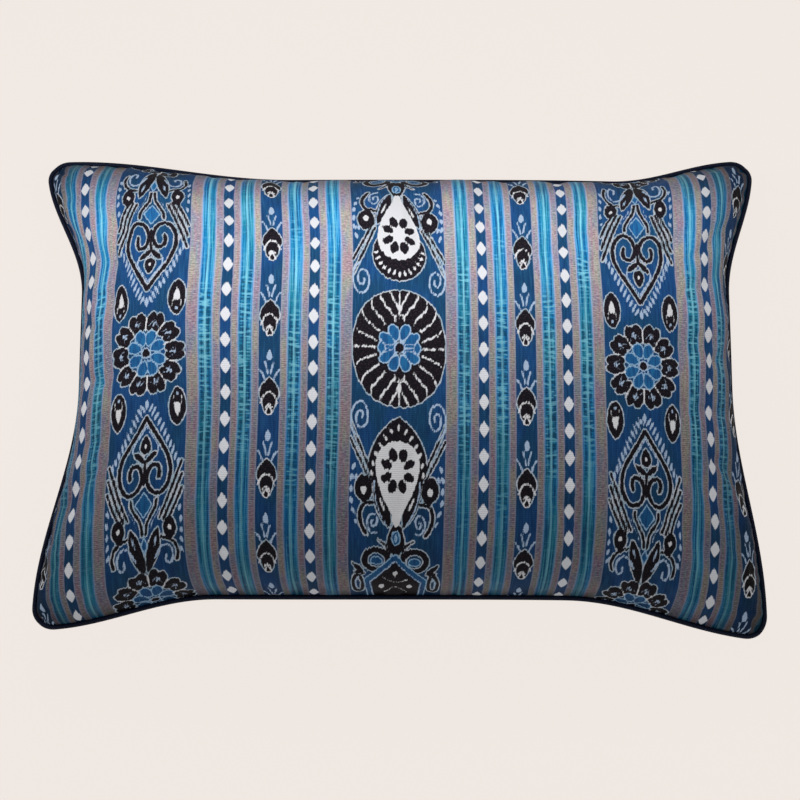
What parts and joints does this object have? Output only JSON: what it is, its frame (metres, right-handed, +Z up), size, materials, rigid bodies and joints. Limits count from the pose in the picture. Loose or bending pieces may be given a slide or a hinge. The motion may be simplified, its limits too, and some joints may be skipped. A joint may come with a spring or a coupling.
{
  "type": "piped lumbar pillow",
  "caption": "Filled rectangular lumbar pillow lying on its back, with a crowned face, drawn-in sides, soft corners and a piping cord sewn into the seam.",
  "frame": {"origin": "middle of the pillow's box on the surface it rests on", "axes": "+X along the long side, +Y towards the top of the patterned face, +Z up through the thickness, patterned face up"},
  "size_m": [0.5822, 0.3994, 0.14],
  "materials": {
    "woven_cover": "striped ikat weave with a slight sheen",
    "piping_cloth": "plain twill over a cord"
  },
  "bodies": {
    "root": {"pillow_body": "woven_cover", "piping": "piping_cloth"}
  },
  "joints": []
}
